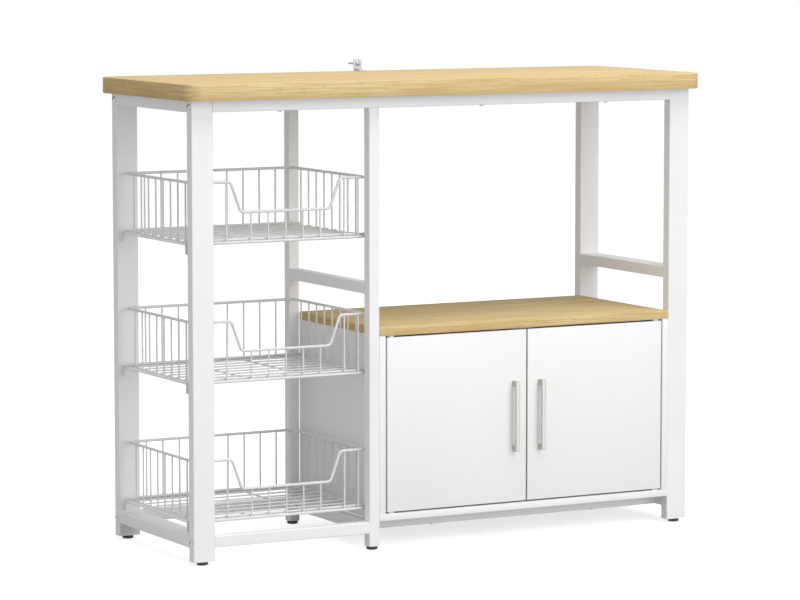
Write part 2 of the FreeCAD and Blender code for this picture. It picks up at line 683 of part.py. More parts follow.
def bush(name, x, face_z, direction):
    """A flanged nylon bush pressed into a board, its flange standing towards the door."""
    flange = "(door_gap - wire_clearance)"
    barrel = doc.addObject("Part::Cylinder", name + "_barrel")
    turn_to(barrel, direction)
    bind(barrel, Radius="bush_diameter / 2", Height="bush_depth")
    collar = doc.addObject("Part::Cylinder", name + "_collar")
    turn_to(collar, opposite(direction))
    bind(collar, Radius="bush_flange / 2", Height=flange)
    bore = doc.addObject("Part::Cylinder", name + "_bore")
    turn_to(bore, direction)
    bind(bore, Radius="(pin_diameter + running_clearance) / 2", Height="bush_depth + " + flange)
    for piece in (barrel, collar):
        place(piece, (x, PIVOT_Y, face_z))
    place(bore, (x, PIVOT_Y, "%s %s %s" % (face_z, opposite(direction)[0], flange)))
    solid = doc.addObject("Part::Fuse", name + "_solid")
    solid.Base = barrel
    solid.Tool = collar
    whole = doc.addObject("Part::Cut", name)
    whole.Base = solid
    whole.Tool = bore
    return whole


def door_pivots():
    """Pins in the doors' edges and the bushes that they turn in."""
    bushes = []
    pin_length = "pin_in_door + door_gap + bush_depth - pin_end_gap"
    for side in ("left", "right"):
        pins = []
        low_start = "door_low - door_gap - bush_depth + pin_end_gap"
        for number, z in enumerate((low_start, "door_low + door_height - pin_in_door"), start=1):
            pin = doc.addObject("Part::Cylinder", "%s_pin_%d" % (side, number))
            bind(pin, Radius="pin_diameter / 2", Height=pin_length)
            place(pin, (PIVOT_X[side], PIVOT_Y, z))
            pins.append(pin)
        keep(group("%s_door_pivot_pins" % side, pins), "%s_door_pivot_pins" % side)
        bushes.append(bush("%s_low_bush" % side, PIVOT_X[side], "panel_low", "-z"))
        bushes.append(bush("%s_high_bush" % side, PIVOT_X[side], "panel_high", "+z"))
    keep(group("pivot_bushes", bushes), "pivot_bushes")


def magnetic_catch():
    """A twin magnetic catch under the shelf and a strike plate on each door."""
    middle = "(mid_right + inner_right) / 2"
    face_y = "door_back_y + strike_thick + wire_clearance"
    corner = (middle + " - catch_width / 2", face_y, "panel_high - catch_height")
    body, box = block("magnetic_catch", corner, ("catch_width", "catch_depth", "catch_height"))
    round_edges(body, box, lambda edge: along("x")(edge) and edge.BoundBox.ZMax < TINY, "catch_edge")
    keep(body, "magnetic_catch")
    reach = "(catch_width / 4 + door_gap / 4)"
    for side, sign in (("left", "-"), ("right", "+")):
        plate_x = "%s %s %s - strike_width / 2" % (middle, sign, reach)
        corner = (plate_x, "door_back_y", "door_low + door_height - strike_height - strike_margin")
        plate, _ = block("%s_strike_plate" % side, corner,
                         ("strike_width", "strike_thick", "strike_height"))
        keep(plate, "%s_strike_plate" % side)


# Baskets: welded wire with a dipped front rim, hung by hooks on rods between the posts
LEVELS = ("bottom", "middle", "top")
TALL_WIRES = 2


def basket_rods():
    """Rods between the front and back posts, three on each side of the basket bay."""
    for side, sign in (("left", "-"), ("right", "+")):
        rods = []
        for level in range(len(LEVELS)):
            rod = doc.addObject("Part::Cylinder", "%s_rod_%d" % (side, level + 1))
            turn_to(rod, "+y")
            bind(rod, Radius="rod_diameter / 2", Height="side_rail_length")
            place(rod, ("basket_mid_x %s rod_half" % sign, "front_y + tube",
                        "basket_low_rim + %d * basket_pitch - rod_drop" % level))
            rods.append(rod)
        keep(group("%s_basket_rods" % side, rods), "%s_basket_rods" % side)


def bent_wire(points, radius, diameter, closed):
    """A round wire along straight runs with a rounded bend at each inner point."""
    count = len(points)
    bends = {}
    for n in range(count) if closed else range(1, count - 1):
        here = points[n]
        to_last = (points[n - 1] - here).normalize()
        to_next = (points[(n + 1) % count] - here).normalize()
        half = to_last.getAngle(to_next) / 2
        bisector = (to_last + to_next).normalize()
        reach = radius / math.tan(half)
        middle = here + bisector * (radius / math.sin(half) - radius)
        bends[n] = (here + to_last * reach, middle, here + to_next * reach)
    edges = []
    for n in range(count if closed else count - 1):
        start = bends[n][2] if n in bends else points[n]
        after = (n + 1) % count
        end = bends[after][0] if after in bends else points[after]
        edges.append(Part.LineSegment(start, end).toShape())
        if after in bends:
            edges.append(Part.Arc(*bends[after]).toShape())
    first = edges[0]
    circle = Part.makeCircle(diameter / 2, first.Vertexes[0].Point, first.tangentAt(first.FirstParameter))
    pipe = Part.Wire(edges).makePipeShell([Part.Wire(circle)], not closed, False)
    return Part.Solid(pipe) if closed else pipe


def straight_wire(start, end, diameter):
    """A straight round wire between two points."""
    run = end - start
    return Part.makeCylinder(diameter / 2, run.Length, start, run)


def row_of_wires(pitch, reach, on_middle):
    """Places of evenly spaced wires on both sides of the middle, as many as fit within the reach."""
    spot = 0 if on_middle else pitch / 2
    spots = set()
    while spot <= reach:
        spots |= {-spot, spot}
        spot += pitch
    return sorted(spots)


def basket_shape():
    """One basket, with its rim's centre plane at zero height and its own middle at the origin."""
    size = {name: float(sheet.get(name)) for name in ALIASES}
    rim_x, rim_y = size["rim_half_x"], size["rim_half_y"]
    base_z = -size["basket_height"]
    dip_x, dip_z = size["dip_mid_x"], -size["dip_depth"]
    bend, thick, mesh = size["basket_corner"], size["rim_wire"], size["mesh_wire"]

    dip_top, dip_low = size["dip_half_top"], size["dip_half_low"]
    dip = [Vector(dip_x - dip_top, -rim_y, 0), Vector(dip_x - dip_low, -rim_y, dip_z),
           Vector(dip_x + dip_low, -rim_y, dip_z), Vector(dip_x + dip_top, -rim_y, 0)]
    rim_corners = [Vector(rim_x, -rim_y, 0), Vector(rim_x, rim_y, 0), Vector(-rim_x, rim_y, 0),
                   Vector(-rim_x, -rim_y, 0)]
    base_corners = [Vector(corner.x, corner.y, base_z) for corner in rim_corners]
    wires = [bent_wire(dip + rim_corners, bend, thick, True), bent_wire(base_corners, bend, thick, True)]

    # Uprights from the base frame to the rim: low ones in the dip, tall ones elsewhere
    for offset in row_of_wires(size["front_wire_pitch"], dip_low - bend, True):
        x = dip_x + offset
        wires.append(straight_wire(Vector(x, -rim_y, base_z), Vector(x, -rim_y, dip_z), mesh))
    for sign in (-1, 1):
        for number in range(TALL_WIRES):
            offset = dip_top + size["tall_wire_gap"] + number * size["tall_wire_pitch"]
            x = dip_x + sign * offset
            wires.append(straight_wire(Vector(x, -rim_y, base_z), Vector(x, -rim_y, 0), mesh))
    for x in row_of_wires(size["back_wire_pitch"], rim_x - bend, True):
        wires.append(straight_wire(Vector(x, rim_y, base_z), Vector(x, rim_y, 0), mesh))
    for y in row_of_wires(size["side_wire_pitch"], rim_y - bend, False):
        for sign in (-1, 1):
            wires.append(straight_wire(Vector(sign * rim_x, y, base_z), Vector(sign * rim_x, y, 0), mesh))

    # Floor grid: close wires across, two wires front to back under them, and two thicker wires with hooks
    floor_z = base_z + size["floor_rise"]
    for y in row_of_wires(size["floor_wire_pitch"], size["hook_y"] - size["floor_wire_pitch"] / 2, True):
        wires.append(straight_wire(Vector(-rim_x, y, floor_z), Vector(rim_x, y, floor_z), mesh))
    cross_z = base_z + size["cross_rise"]
    for x in (-rim_x / 3, rim_x / 3):
        wires.append(straight_wire(Vector(x, -rim_y, cross_z), Vector(x, rim_y, cross_z), mesh))
    hook_x, hook_z = size["hook_half"], base_z + size["hook_rise"]
    tip_z = hook_z - size["hook_drop"]
    for y in (-size["hook_y"], size["hook_y"]):
        route = [Vector(-hook_x, y, tip_z), Vector(-hook_x, y, hook_z), Vector(hook_x, y, hook_z),
                 Vector(hook_x, y, tip_z)]
        wires.append(bent_wire(route, size["hook_bend"], size["hook_wire"], False))
    return wires[0].multiFuse(wires[1:])


def baskets():
    """Three like baskets, one above the other."""
    shape = basket_shape()
    for level, name in enumerate(LEVELS):
        basket = doc.addObject("Part::Feature", name + "_basket")
        basket.Shape = shape
        place(basket, ("basket_mid_x", "mid_y", "basket_low_rim + %d * basket_pitch" % level))
        keep(basket, name + "_basket")


wide_posts()
square_posts()
side_rails()
long_rails()
frame_bolts()
feet()
worktop()
wall_bracket()
cabinet()
for door_side in ("left", "right"):
    door(door_side)
    handle(door_side)
door_pivots()
magnetic_catch()
basket_rods()
baskets()

# Check every object, then write each sub-part to its own file
doc.recompute()
faults = [thing.Label for thing in doc.Objects if {"Invalid", "Error"} & set(thing.State)]
faults += [node.Label for node in nodes if node.Shape.isNull() or not node.Shape.isValid()]
if faults:
    raise RuntimeError("these objects failed: " + ", ".join(sorted(set(faults))))
os.makedirs("parts", exist_ok=True)
for node in nodes:
    node.Shape.exportStep(os.path.join("parts", node.Label + ".step"))
    print(node.Label, len(node.Shape.Solids), round(node.Shape.Volume, 1))
print("wrote", len(nodes), "sub-parts")
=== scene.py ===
import itertools
import json
import math

import bmesh
import bpy
from mathutils import Matrix, Vector

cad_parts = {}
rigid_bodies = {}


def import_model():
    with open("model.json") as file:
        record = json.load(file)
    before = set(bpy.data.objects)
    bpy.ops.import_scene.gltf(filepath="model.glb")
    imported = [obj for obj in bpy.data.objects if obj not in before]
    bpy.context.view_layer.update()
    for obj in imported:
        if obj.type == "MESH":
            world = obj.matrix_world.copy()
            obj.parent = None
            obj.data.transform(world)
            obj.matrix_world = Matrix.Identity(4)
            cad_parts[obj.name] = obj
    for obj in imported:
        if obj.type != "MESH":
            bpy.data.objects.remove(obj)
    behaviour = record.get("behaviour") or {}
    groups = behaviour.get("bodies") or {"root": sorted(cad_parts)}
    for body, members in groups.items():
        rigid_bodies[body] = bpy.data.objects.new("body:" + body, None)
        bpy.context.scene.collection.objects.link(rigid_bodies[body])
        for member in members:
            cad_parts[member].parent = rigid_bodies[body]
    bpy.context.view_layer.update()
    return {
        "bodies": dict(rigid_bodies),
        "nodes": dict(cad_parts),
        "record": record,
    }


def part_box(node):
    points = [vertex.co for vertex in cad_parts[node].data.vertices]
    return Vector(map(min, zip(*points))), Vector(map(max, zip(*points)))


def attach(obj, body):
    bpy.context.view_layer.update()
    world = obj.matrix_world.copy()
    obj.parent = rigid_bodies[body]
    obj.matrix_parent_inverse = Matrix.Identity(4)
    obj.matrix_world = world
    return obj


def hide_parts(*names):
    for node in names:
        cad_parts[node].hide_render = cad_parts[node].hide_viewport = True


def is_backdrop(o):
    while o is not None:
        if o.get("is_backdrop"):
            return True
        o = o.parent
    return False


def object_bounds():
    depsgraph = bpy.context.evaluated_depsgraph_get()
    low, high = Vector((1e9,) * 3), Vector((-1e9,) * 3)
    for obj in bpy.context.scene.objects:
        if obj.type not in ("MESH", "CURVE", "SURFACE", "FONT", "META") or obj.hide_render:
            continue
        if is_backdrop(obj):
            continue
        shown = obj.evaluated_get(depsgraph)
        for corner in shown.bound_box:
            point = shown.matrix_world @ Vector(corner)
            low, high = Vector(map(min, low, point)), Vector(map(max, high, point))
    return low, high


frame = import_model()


# Tube frame: posts and rails of cold-rolled steel tube, sawn square and welded into three flat frames,
# which the long rails tie together. Everything is powder coated white after welding, so the seams and
# the tube's own rounded edges show through one even, slightly dimpled skin.
def linear_colour(code):
    channels = [int(code[start:start + 2], 16) / 255 for start in (1, 3, 5)]
    return tuple(c / 12.92 if c <= 0.04045 else ((c + 0.055) / 1.055) ** 2.4 for c in channels) + (1.0,)


def add_node(owner, kind, inputs=None, stops=(), **settings):
    node = owner.node_tree.nodes.new(kind)
    for name, value in settings.items():
        setattr(node, name, value)
    for number, (position, code) in enumerate(stops):
        node.color_ramp.elements[number].position = position
        node.color_ramp.elements[number].color = linear_colour(code)
    for name, value in (inputs or {}).items():
        if isinstance(value, bpy.types.NodeSocket):
            owner.node_tree.links.new(value, node.inputs[name])
        else:
            node.inputs[name].default_value = value
    return node.outputs


def new_finish(name):
    material = bpy.data.materials.new(name)
    material.use_nodes = True
    material.node_tree.nodes.clear()
    return material


def paint(names, material):
    for name in names:
        mesh = frame["nodes"][name].data
        mesh.materials.clear()
        mesh.materials.append(material)


# Powder coat on steel: baked polyester, an even satin white whose orange peel softens each reflection.
# The real dimples are about 1 mm wide; they are drawn at 3 mm so that they show.
powder_coat = new_finish("powder_coat_white")
PEEL_WIDTH_MM = 3.0
CLOUD_WIDTH_MM = 140.0
place = add_node(powder_coat, "ShaderNodeTexCoord")["Object"]
clouds = add_node(powder_coat, "ShaderNodeTexNoise", {
    "Vector": place, "Scale": 1000 / CLOUD_WIDTH_MM, "Detail": 2.0})["Fac"]
peel = add_node(powder_coat, "ShaderNodeTexNoise", {
    "Vector": place, "Scale": 1000 / PEEL_WIDTH_MM, "Detail": 1.0})["Fac"]
shader = add_node(powder_coat, "ShaderNodeBsdfPrincipled", {
    "Base Color": add_node(powder_coat, "ShaderNodeValToRGB", {"Fac": clouds},
                           stops=[(0.35, "#F2F2F2"), (0.65, "#F5F5F5")])["Color"],
    "Roughness": add_node(powder_coat, "ShaderNodeMapRange", {
        "Value": clouds, "To Min": 0.40, "To Max": 0.48})["Result"],
    "Normal": add_node(powder_coat, "ShaderNodeBump", {
        "Height": peel, "Strength": 0.06, "Distance": 0.0005})["Normal"],
    "IOR": 1.5})["BSDF"]
add_node(powder_coat, "ShaderNodeOutputMaterial", {"Surface": shader})

for entry in frame["record"]["subparts"]:
    if entry["material_slot"] == "white_steel":
        paint([entry["node"]], powder_coat)


# Frame bolts: zinc-plated button heads with a hexagon socket, driven through the posts from outside.
# Only the head shows, a low dome about 10 mm across that seats flat on the tube.
SHARP_ANGLE = math.radians(35)
# Points less than a micrometre apart count as one
SAME_POINT = 1e-6


def new_piece(name, bm, material, body):
    bmesh.ops.recalc_face_normals(bm, faces=bm.faces)
    mesh = bpy.data.meshes.new(name)
    bm.to_mesh(mesh)
    bm.free()
    mesh.shade_smooth()
    mesh.set_sharp_from_angle(angle=SHARP_ANGLE)
    mesh.materials.append(material)
    piece = bpy.data.objects.new(name, mesh)
    bpy.context.collection.objects.link(piece)
    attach(piece, body)
    return piece


def verts_of(geometry):
    return [item for item in geometry if isinstance(item, bmesh.types.BMVert)]


def turned_solid(bm, profile, steps):
    ring = [bm.verts.new((radius, 0, height)) for radius, height in profile]
    chain = [bm.edges.new(pair) for pair in zip(ring, ring[1:])]
    bmesh.ops.spin(bm, geom=ring + chain, axis=(0, 0, 1), cent=(0, 0, 0), steps=steps, angle=2 * math.pi,
                   use_merge=True)
    bmesh.ops.remove_doubles(bm, verts=bm.verts, dist=SAME_POINT)


def sink_recess(bm, outline, top, depth):
    rim = [edge for edge in bm.edges
           if edge.is_boundary and min(vert.co.z for vert in edge.verts) > top - SAME_POINT]
    corners = [bm.verts.new((x, y, top)) for x, y in outline]
    mouth = [bm.edges.new((corners[n - 1], corners[n])) for n in range(len(corners))]
    bmesh.ops.triangle_fill(bm, edges=rim + mouth, use_beauty=True)
    walls = bmesh.ops.extrude_edge_only(bm, edges=mouth)["geom"]
    bmesh.ops.translate(bm, verts=verts_of(walls), vec=(0, 0, -depth))


def stand_on(bm, seat, outward, turn_degrees):
    bmesh.ops.holes_fill(bm, edges=[edge for edge in bm.edges if edge.is_boundary], sides=0)
    turn = Matrix.Rotation(math.radians(turn_degrees), 3, "Z")
    lean = Vector((0, 0, 1)).rotation_difference(outward).to_matrix()
    bmesh.ops.rotate(bm, verts=bm.verts, cent=(0, 0, 0), matrix=lean @ turn)
    bmesh.ops.translate(bm, verts=bm.verts, vec=seat)


def middle(name):
    low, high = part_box(name)
    return (Vector(low) + Vector(high)) / 2


# Zinc plate: bright, slightly blue-grey, with faint cloudy streaks left by the plating barrel.
zinc_plate = new_finish("zinc_plated_steel")
STREAK_WIDTH_MM = 2.0
place = add_node(zinc_plate, "ShaderNodeTexCoord")["Object"]
streaks = add_node(zinc_plate, "ShaderNodeTexNoise", {
    "Vector": place, "Scale": 1000 / STREAK_WIDTH_MM, "Detail": 3.0})["Fac"]
shader = add_node(zinc_plate, "ShaderNodeBsdfPrincipled", {
    "Base Color": add_node(zinc_plate, "ShaderNodeValToRGB", {"Fac": streaks},
                           stops=[(0.30, "#9A9C9F"), (0.70, "#B6B8BA")])["Color"],
    "Roughness": add_node(zinc_plate, "ShaderNodeMapRange", {
        "Value": streaks, "To Min": 0.28, "To Max": 0.42})["Result"],
    "Metallic": 1.0})["BSDF"]
add_node(zinc_plate, "ShaderNodeOutputMaterial", {"Surface": shader})

BOLT_HEAD_RADIUS = 0.0050
BOLT_HEAD_HEIGHT = 0.0029
BOLT_RIM_HEIGHT = 0.0004
BOLT_LAND_RADIUS = 0.0030
# Radius and height: up the short rim, then over the dome to the flat land round the socket
BOLT_HEAD_PROFILE = [(BOLT_HEAD_RADIUS, 0.0), (BOLT_HEAD_RADIUS, BOLT_RIM_HEIGHT), (0.0046, 0.0014),
                     (0.0038, 0.0023), (BOLT_LAND_RADIUS, BOLT_HEAD_HEIGHT)]
HEAD_SIDES = 24
SOCKET_SIDES = 6
SOCKET_RADIUS = 0.0022
SOCKET_DEPTH = 0.0016
# Each head stops at an angle of its own
BOLT_TURN_DEGREES = 17
LEFT = Vector((-1, 0, 0))
RIGHT = Vector((1, 0, 0))

socket = []
for corner in range(SOCKET_SIDES):
    angle = 2 * math.pi * corner / SOCKET_SIDES
    socket.append((SOCKET_RADIUS * math.cos(angle), SOCKET_RADIUS * math.sin(angle)))
frame_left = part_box("left_front_post")[0][0]
frame_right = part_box("right_front_post")[1][0]
middle_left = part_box("middle_front_post")[0][0]
middle_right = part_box("middle_front_post")[1][0]
bolt_seats = []
for row in ("front", "back"):
    top_rail = middle("%s_top_rail" % row)
    basket_rail = middle("%s_basket_rail" % row)
    bearer = middle("%s_cabinet_bearer" % row)
    bolt_seats.append((frame_left, top_rail, LEFT))
    bolt_seats.append((frame_left, basket_rail, LEFT))
    bolt_seats.append((frame_right, top_rail, RIGHT))
    bolt_seats.append((middle_right, basket_rail, RIGHT))
    bolt_seats.append((middle_left, bearer, LEFT))
    bolt_seats.append((frame_right, bearer, RIGHT))
for number, (face_x, rail, outward) in enumerate(bolt_seats, start=1):
    bm = bmesh.new()
    turned_solid(bm, BOLT_HEAD_PROFILE, HEAD_SIDES)
    sink_recess(bm, socket, BOLT_HEAD_HEIGHT, SOCKET_DEPTH)
    stand_on(bm, (face_x, rail.y, rail.z), outward, BOLT_TURN_DEGREES * number)
    new_piece("bolt_head_%02d" % number, bm, zinc_plate, "frame")
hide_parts("frame_bolts")
paint(["middle_post_bolts"], zinc_plate)


# Levelling feet: black nylon pads moulded on a steel stud, with a fluted grip round the edge for the
# fingers. Each screws into a plug in the end of its post.
# Black nylon: a spark-eroded mould gives it a dull, fine grain. It is drawn at 1.5 mm so that it shows.
black_nylon = new_finish("nylon_black")
SPARK_WIDTH_MM = 1.5
place = add_node(black_nylon, "ShaderNodeTexCoord")["Object"]
sparks = add_node(black_nylon, "ShaderNodeTexNoise", {
    "Vector": place, "Scale": 1000 / SPARK_WIDTH_MM, "Detail": 2.0})["Fac"]
shader = add_node(black_nylon, "ShaderNodeBsdfPrincipled", {
    "Base Color": add_node(black_nylon, "ShaderNodeValToRGB", {"Fac": sparks},
                           stops=[(0.30, "#141414"), (0.75, "#262626")])["Color"],
    "Roughness": add_node(black_nylon, "ShaderNodeMapRange", {
        "Value": sparks, "To Min": 0.48, "To Max": 0.62})["Result"],
    "Normal": add_node(black_nylon, "ShaderNodeBump", {
        "Height": sparks, "Strength": 0.15, "Distance": 0.0003})["Normal"],
    "IOR": 1.53})["BSDF"]
add_node(black_nylon, "ShaderNodeOutputMaterial", {"Surface": shader})

FOOT_FLUTES = 20
STEPS_PER_FLUTE = 4
FLUTE_DEPTH = 0.0006
SOLE_RADIUS = 0.0078
SOLE_ROUNDING = (0.0090, 0.0005)
GRIP_LOW = 0.0016
GRIP_HIGH = 0.0044
SHOULDER = (0.0092, 0.0054)
CROWN_RADIUS = 0.0060
CROWN_HEIGHT = 0.0057
STUD_RADIUS = 0.0030
for body in frame["bodies"]:
    if not body.startswith("foot_"):
        continue
    low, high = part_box(body)
    pad_radius = (high[0] - low[0]) / 2
    sole = [(0.0, 0.0), (SOLE_RADIUS, 0.0), SOLE_ROUNDING]
    grip = [(pad_radius, GRIP_LOW), (pad_radius, GRIP_HIGH)]
    crown = [SHOULDER, (CROWN_RADIUS, CROWN_HEIGHT), (STUD_RADIUS, CROWN_HEIGHT)]
    stud = [(STUD_RADIUS, high[2]), (0.0, high[2])]
    bm = bmesh.new()
    turned_solid(bm, sole + grip + crown + stud, FOOT_FLUTES * STEPS_PER_FLUTE)
    for vert in bm.verts:
        if vert.co.xy.length > pad_radius - SAME_POINT:
            wave = math.cos(math.atan2(vert.co.y, vert.co.x) * FOOT_FLUTES)
            vert.co.xy *= 1 - FLUTE_DEPTH / pad_radius * (1 - wave) / 2
    bmesh.ops.translate(bm, verts=bm.verts, vec=((low[0] + high[0]) / 2, (low[1] + high[1]) / 2, 0))
    foot = new_piece("pad_" + body, bm, black_nylon, body)
    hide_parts(body)
paint(["foot_plugs"], black_nylon)


# Boards: chipboard with a melamine face. The worktop and the microwave shelf carry an oak print with
# the grain along the rack; their edges are banded with the same print, run along each edge, and their
# undersides are sealed with plain white paper.
CORNER_STEPS = 16
EDGE_STEPS = 3
RIM_ANGLE = math.radians(60)


def soften(bm, edges, radius, segments):
    bmesh.ops.bevel(bm, geom=edges, offset=radius, offset_type="OFFSET", affect="EDGES",
                    segments=segments, profile=0.5, material=-1)


def board(node, edge_radius, corner_radius=0.0):
    low, high = (Vector(corner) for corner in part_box(node))
    bm = bmesh.new()
    bmesh.ops.create_cube(bm, size=1.0)
    bmesh.ops.scale(bm, verts=bm.verts, vec=high - low)
    bmesh.ops.translate(bm, verts=bm.verts, vec=(low + high) / 2)
    rims = list(bm.edges)
    if corner_radius:
        upright = [edge for edge in bm.edges if abs(edge.verts[0].co.z - edge.verts[1].co.z) > SAME_POINT]
        soften(bm, upright, corner_radius, CORNER_STEPS)
        rims = [edge for edge in bm.edges if edge.calc_face_angle(0) > RIM_ANGLE]
    soften(bm, rims, edge_radius, EDGE_STEPS)
    return bm


# Oak-print melamine: a pale honey oak with straight fine fibres, broad soft figure and short dark pores.
# Pores are about 0.3 mm wide in the wood; they are drawn at 1.6 mm so that they show.
oak_print = new_finish("oak_print_melamine")
FIGURE_LENGTH_MM = 520.0
FIGURE_WIDTH_MM = 26.0
FIBRE_LENGTH_MM = 110.0
FIBRE_WIDTH_MM = 3.2
PORE_LENGTH_MM = 22.0
PORE_WIDTH_MM = 1.6
# How far a face has to turn to the end, or up or down, before its grain is laid that way
END_FACING = 0.7
FACE_FACING = 0.6
place = add_node(oak_print, "ShaderNodeTexCoord")
axes = add_node(oak_print, "ShaderNodeSeparateXYZ", {"Vector": place["Object"]})
facing = add_node(oak_print, "ShaderNodeSeparateXYZ", {"Vector": place["Normal"]})
steep_x = add_node(oak_print, "ShaderNodeMath", {0: facing["X"]}, operation="ABSOLUTE")["Value"]
steep_z = add_node(oak_print, "ShaderNodeMath", {0: facing["Z"]}, operation="ABSOLUTE")["Value"]
on_end = add_node(oak_print, "ShaderNodeMath", {0: steep_x, 1: END_FACING},
                  operation="GREATER_THAN")["Value"]
on_face = add_node(oak_print, "ShaderNodeMath", {0: steep_z, 1: FACE_FACING},
                   operation="GREATER_THAN")["Value"]
on_underside = add_node(oak_print, "ShaderNodeMath", {0: facing["Z"], 1: -FACE_FACING},
                        operation="LESS_THAN")["Value"]
along = add_node(oak_print, "ShaderNodeMix", {
    "Factor": on_end, "A": axes["X"], "B": axes["Y"]})["Result"]
across = add_node(oak_print, "ShaderNodeMix", {
    "Factor": on_face, "A": axes["Z"], "B": axes["Y"]})["Result"]
grain_place = add_node(oak_print, "ShaderNodeCombineXYZ", {
    "X": along, "Y": across, "Z": on_face})["Vector"]
grain = {}
for pattern, length_mm, width_mm in (("figure", FIGURE_LENGTH_MM, FIGURE_WIDTH_MM),
                                     ("fibre", FIBRE_LENGTH_MM, FIBRE_WIDTH_MM),
                                     ("pore", PORE_LENGTH_MM, PORE_WIDTH_MM)):
    stretched = add_node(oak_print, "ShaderNodeMapping", {
        "Vector": grain_place, "Scale": (1000 / length_mm, 1000 / width_mm, 1.0)})["Vector"]
    grain[pattern] = add_node(oak_print, "ShaderNodeTexNoise", {
        "Vector": stretched, "Scale": 1.0, "Detail": 2.0})["Fac"]
figured = add_node(oak_print, "ShaderNodeValToRGB", {"Fac": grain["figure"]},
                   stops=[(0.36, "#D9BF8A"), (0.64, "#E7D2A3")])["Color"]
fibre_share = add_node(oak_print, "ShaderNodeMapRange", {
    "Value": grain["fibre"], "From Min": 0.38, "From Max": 0.62, "To Max": 0.68})["Result"]
pore_share = add_node(oak_print, "ShaderNodeMapRange", {
    "Value": grain["pore"], "From Min": 0.58, "From Max": 0.70, "To Max": 0.55})["Result"]
fibred = add_node(oak_print, "ShaderNodeMixRGB", {
    "Fac": fibre_share, "Color1": figured, "Color2": linear_colour("#CBAC72")})["Color"]
pored = add_node(oak_print, "ShaderNodeMixRGB", {
    "Fac": pore_share, "Color1": fibred, "Color2": linear_colour("#B1925C")})["Color"]
backed = add_node(oak_print, "ShaderNodeMixRGB", {
    "Fac": on_underside, "Color1": pored, "Color2": linear_colour("#EDEDEB")})["Color"]
shader = add_node(oak_print, "ShaderNodeBsdfPrincipled", {
    "Base Color": backed,
    "Roughness": add_node(oak_print, "ShaderNodeMapRange", {
        "Value": grain["fibre"], "To Min": 0.60, "To Max": 0.70})["Result"],
    "Normal": add_node(oak_print, "ShaderNodeBump", {
        "Height": pore_share, "Strength": 0.12, "Distance": 0.0004}, invert=True)["Normal"],
    "Specular IOR Level": 0.05,
    "IOR": 1.5})["BSDF"]
add_node(oak_print, "ShaderNodeOutputMaterial", {"Surface": shader})

WORKTOP_EDGE = 0.0012
WORKTOP_CORNER = 0.030
SHELF_EDGE = 0.0009
worktop_board = board("worktop", WORKTOP_EDGE, WORKTOP_CORNER)
worktop = new_piece("worktop_board", worktop_board, oak_print, "frame")
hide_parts("worktop")
shelf_board = board("microwave_shelf", SHELF_EDGE)
shelf = new_piece("shelf_board", shelf_board, oak_print, "frame")
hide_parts("microwave_shelf")


# Cabinet: white melamine chipboard, with matching bands on the edges that show. The sides stand on the
# bottom panel, the shelf closes the top, and a thin hardboard back is nailed on.
# White melamine: a smooth press-plate finish, with a very fine pearl that breaks up its reflections.
# The pearl's real grain is under 1 mm; it is drawn at 2.5 mm so that it shows.
melamine = new_finish("melamine_white")
PEARL_WIDTH_MM = 2.5
SHADE_WIDTH_MM = 220.0
place = add_node(melamine, "ShaderNodeTexCoord")["Object"]
shade = add_node(melamine, "ShaderNodeTexNoise", {
    "Vector": place, "Scale": 1000 / SHADE_WIDTH_MM, "Detail": 2.0})["Fac"]
pearl = add_node(melamine, "ShaderNodeTexNoise", {
    "Vector": place, "Scale": 1000 / PEARL_WIDTH_MM, "Detail": 1.0})["Fac"]
shader = add_node(melamine, "ShaderNodeBsdfPrincipled", {
    "Base Color": add_node(melamine, "ShaderNodeValToRGB", {"Fac": shade},
                           stops=[(0.35, "#F4F4F3"), (0.65, "#F6F6F6")])["Color"],
    "Roughness": add_node(melamine, "ShaderNodeMapRange", {
        "Value": pearl, "To Min": 0.42, "To Max": 0.50})["Result"],
    "Normal": add_node(melamine, "ShaderNodeBump", {
        "Height": pearl, "Strength": 0.03, "Distance": 0.0003})["Normal"],
    "IOR": 1.5})["BSDF"]
add_node(melamine, "ShaderNodeOutputMaterial", {"Surface": shader})

PANEL_EDGE = 0.0005
for node in ("cabinet_bottom_panel", "cabinet_left_panel", "cabinet_right_panel", "cabinet_back_panel"):
    panel = new_piece(node + "_board", board(node, PANEL_EDGE), melamine, "frame")
    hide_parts(node)
paint(["back_panel_nails"], zinc_plate)

# Beech dowels: pale pinkish wood with fine flutes that hold the glue.
dowel_beech = new_finish("beech_dowel")
FLUTE_WIDTH_MM = 1.2
place = add_node(dowel_beech, "ShaderNodeTexCoord")["Object"]
flutes = add_node(dowel_beech, "ShaderNodeTexNoise", {
    "Vector": place, "Scale": 1000 / FLUTE_WIDTH_MM})["Fac"]
shader = add_node(dowel_beech, "ShaderNodeBsdfPrincipled", {
    "Base Color": add_node(dowel_beech, "ShaderNodeValToRGB", {"Fac": flutes},
                           stops=[(0.0, "#C29A6C"), (1.0, "#D8B488")])["Color"],
    "Roughness": 0.7})["BSDF"]
add_node(dowel_beech, "ShaderNodeOutputMaterial", {"Surface": shader})
paint(["panel_dowels"], dowel_beech)


